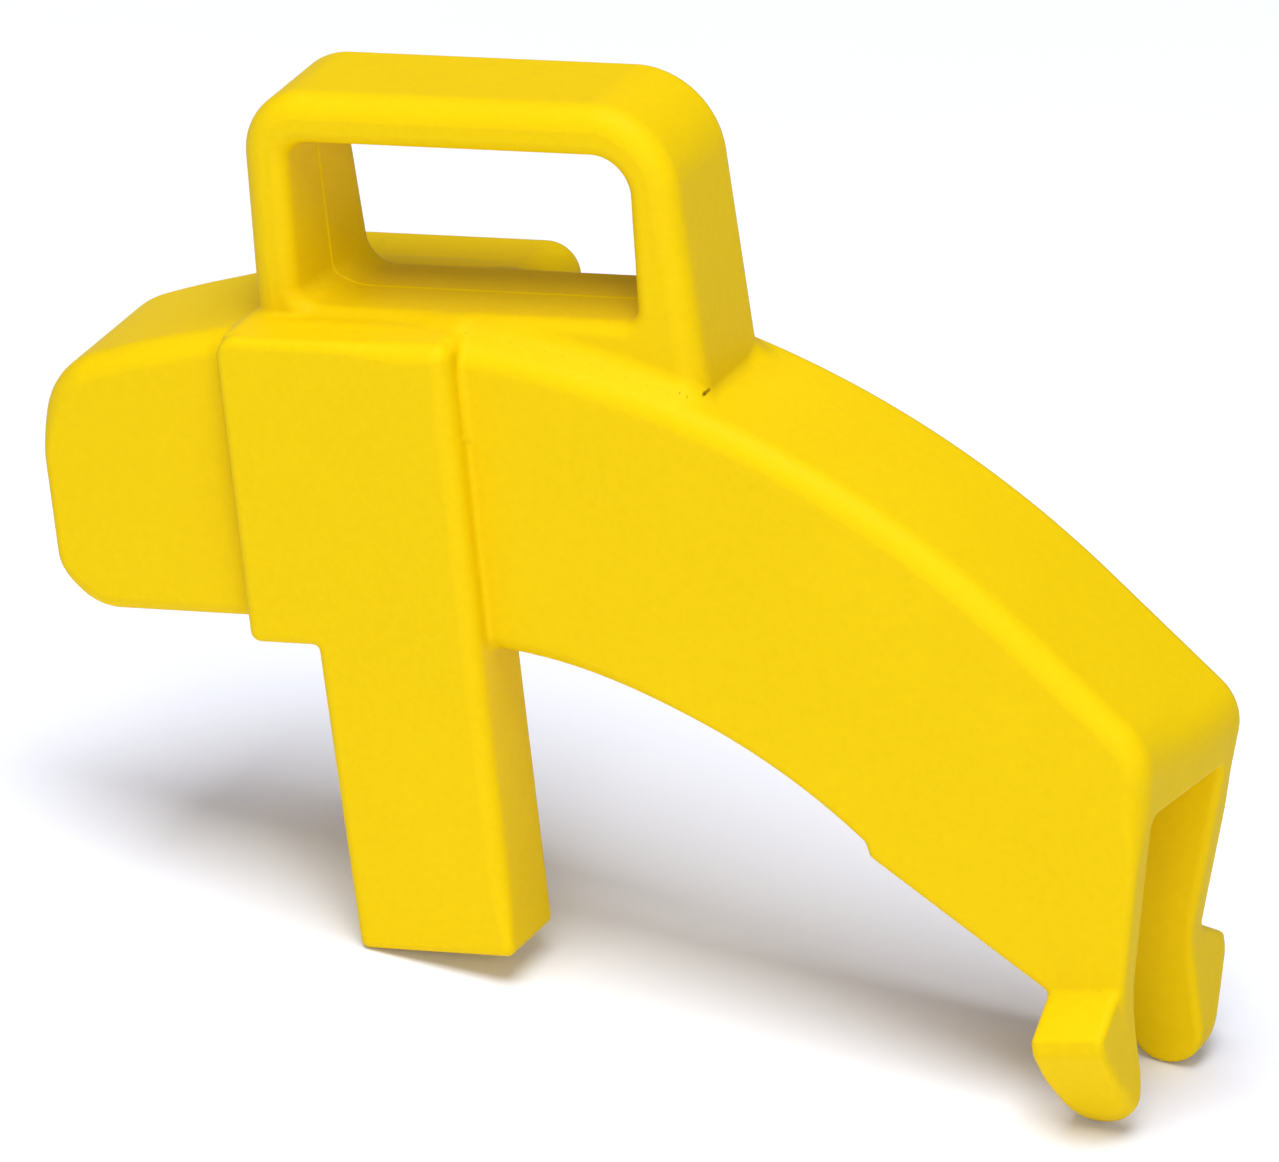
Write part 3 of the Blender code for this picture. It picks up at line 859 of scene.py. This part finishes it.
def yellow_plastic():
    """Satin yellow moulding plastic with a very fine grain."""
    material = bpy.data.materials.new("yellow_moulding_plastic")
    material.use_nodes = True
    nodes = material.node_tree.nodes
    links = material.node_tree.links
    shader = nodes["Principled BSDF"]
    shader.inputs["Metallic"].default_value = 0.0
    shader.inputs["IOR"].default_value = 1.5
    shader.inputs["Specular IOR Level"].default_value = 0.06

    place = nodes.new("ShaderNodeTexCoord")
    cloud = nodes.new("ShaderNodeTexNoise")
    cloud.inputs["Scale"].default_value = 160.0
    cloud.inputs["Detail"].default_value = 3.0
    grain = nodes.new("ShaderNodeTexNoise")
    grain.inputs["Scale"].default_value = 2600.0
    grain.inputs["Detail"].default_value = 4.0
    grain.inputs["Roughness"].default_value = 0.65
    for noise in (cloud, grain):
        links.new(place.outputs["Object"], noise.inputs["Vector"])

    tint = nodes.new("ShaderNodeMix")
    tint.data_type = "RGBA"
    tint.inputs["A"].default_value = (0.760, 0.512, 0.0008, 1.0)
    tint.inputs["B"].default_value = (0.795, 0.543, 0.0012, 1.0)
    links.new(cloud.outputs["Fac"], tint.inputs["Factor"])
    speckle = nodes.new("ShaderNodeMix")
    speckle.data_type = "RGBA"
    speckle.blend_type = "MULTIPLY"
    speckle.inputs["Factor"].default_value = 1.0
    shade = nodes.new("ShaderNodeMapRange")
    shade.inputs["From Min"].default_value = 0.3
    shade.inputs["From Max"].default_value = 0.7
    shade.inputs["To Min"].default_value = 0.955
    shade.inputs["To Max"].default_value = 1.0
    links.new(grain.outputs["Fac"], shade.inputs["Value"])
    links.new(tint.outputs["Result"], speckle.inputs["A"])
    links.new(shade.outputs["Result"], speckle.inputs["B"])
    links.new(speckle.outputs["Result"], shader.inputs["Base Color"])

    gloss = nodes.new("ShaderNodeMapRange")
    gloss.inputs["To Min"].default_value = 0.46
    gloss.inputs["To Max"].default_value = 0.60
    links.new(grain.outputs["Fac"], gloss.inputs["Value"])
    links.new(gloss.outputs["Result"], shader.inputs["Roughness"])

    bump = nodes.new("ShaderNodeBump")
    bump.inputs["Strength"].default_value = 0.25
    bump.inputs["Distance"].default_value = 0.00003
    links.new(grain.outputs["Fac"], bump.inputs["Height"])
    links.new(bump.outputs["Normal"], shader.inputs["Normal"])
    return material


# ---------------------------------------------------------------- stage

CAMERA_AZIMUTH = 22.620
CAMERA_ELEVATION = 26.001
CAMERA_ROLL = -4.514
CAMERA_DISTANCE = 0.8507
CAMERA_LENS = 563.445
CAMERA_AIM_SHIFT = (0.0003, -0.0010, -0.0022)
FLOOR_HALF_SIZE = 3.0


def make_floor(low_z):
    half = FLOOR_HALF_SIZE
    mesh = bpy.data.meshes.new("floor")
    corners = [(-half, -half, 0), (half, -half, 0), (half, half, 0), (-half, half, 0)]
    mesh.from_pydata(corners, [], [(0, 1, 2, 3)])
    floor = bpy.data.objects.new("floor", mesh)
    floor.location = (0.0, 0.0, low_z)
    bpy.context.scene.collection.objects.link(floor)
    material = bpy.data.materials.new("white_paper")
    material.use_nodes = True
    nodes = material.node_tree.nodes
    shader = nodes["Principled BSDF"]
    shader.inputs["Roughness"].default_value = 0.9
    shader.inputs["Specular IOR Level"].default_value = 0.0
    fibre = nodes.new("ShaderNodeTexNoise")
    fibre.inputs["Scale"].default_value = 400.0
    tone = nodes.new("ShaderNodeMix")
    tone.data_type = "RGBA"
    tone.inputs["A"].default_value = (0.93, 0.945, 0.985, 1.0)
    tone.inputs["B"].default_value = (0.94, 0.955, 0.995, 1.0)
    material.node_tree.links.new(fibre.outputs["Fac"], tone.inputs["Factor"])
    material.node_tree.links.new(tone.outputs["Result"], shader.inputs["Base Color"])
    mesh.materials.append(material)


def aim(obj, target):
    """Turn a light so that it shines at the target."""
    obj.rotation_mode = "QUATERNION"
    obj.rotation_quaternion = (target - obj.location).to_track_quat("-Z", "Y")


def soft_light(name, centre, azimuth, elevation, distance, size, power):
    """Square area light; azimuth and elevation are as for the camera, in degrees."""
    light = bpy.data.lights.new(name, "AREA")
    light.shape = "SQUARE"
    light.size = size
    light.energy = power
    lamp = bpy.data.objects.new(name, light)
    lamp.location = centre + direction(azimuth, elevation) * distance
    bpy.context.scene.collection.objects.link(lamp)
    aim(lamp, centre)


def direction(azimuth, elevation):
    a = math.radians(azimuth)
    e = math.radians(elevation)
    return Vector((math.sin(a) * math.cos(e), -math.cos(a) * math.cos(e), math.sin(e)))


def make_lights(centre):
    soft_light(
        "overhead_softbox", centre,
        azimuth=0.0, elevation=77.0, distance=0.55, size=0.42, power=3.6)
    soft_light(
        "front_softbox", centre,
        azimuth=27.0, elevation=17.0, distance=0.6, size=0.4, power=1.54)
    world = bpy.data.worlds.new("studio")
    world.use_nodes = True
    sky = world.node_tree.nodes["Background"]
    sky.inputs["Color"].default_value = (0.80, 0.915, 1.45, 1.0)
    sky.inputs["Strength"].default_value = 0.21
    bpy.context.scene.world = world


def make_camera(centre):
    camera = bpy.data.cameras.new("camera")
    camera.sensor_fit = "HORIZONTAL"
    camera.sensor_width = 36.0
    camera.lens = CAMERA_LENS
    camera.clip_start = 0.01
    camera.clip_end = 100.0
    holder = bpy.data.objects.new("camera", camera)
    back = direction(CAMERA_AZIMUTH, CAMERA_ELEVATION)
    target = centre + Vector(CAMERA_AIM_SHIFT)
    a = math.radians(CAMERA_AZIMUTH)
    level = Vector((math.cos(a), math.sin(a), 0.0))
    upright = back.cross(level)
    roll = math.radians(CAMERA_ROLL)
    right = level * math.cos(roll) - upright * math.sin(roll)
    up = level * math.sin(roll) + upright * math.cos(roll)
    turn = Matrix((right, up, back)).transposed().to_4x4()
    holder.matrix_world = Matrix.Translation(target + back * CAMERA_DISTANCE) @ turn
    bpy.context.scene.collection.objects.link(holder)
    bpy.context.scene.camera = holder


with open("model.json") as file:
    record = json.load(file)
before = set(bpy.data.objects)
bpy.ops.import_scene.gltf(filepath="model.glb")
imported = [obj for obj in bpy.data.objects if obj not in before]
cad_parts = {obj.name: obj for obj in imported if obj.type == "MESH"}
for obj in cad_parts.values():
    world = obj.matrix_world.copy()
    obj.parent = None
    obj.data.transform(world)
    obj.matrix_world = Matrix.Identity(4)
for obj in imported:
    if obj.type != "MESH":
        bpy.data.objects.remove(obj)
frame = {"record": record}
cad_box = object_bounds()
box_centre = (cad_box[0] + cad_box[1]) / 2
make_camera(box_centre)
clip_pieces, clip_matrix = build_clip(frame, yellow_plastic())
attach(clip_pieces)
make_floor(cad_box[0].z)
make_lights(box_centre)
bpy.context.scene.view_settings.view_transform = "Standard"
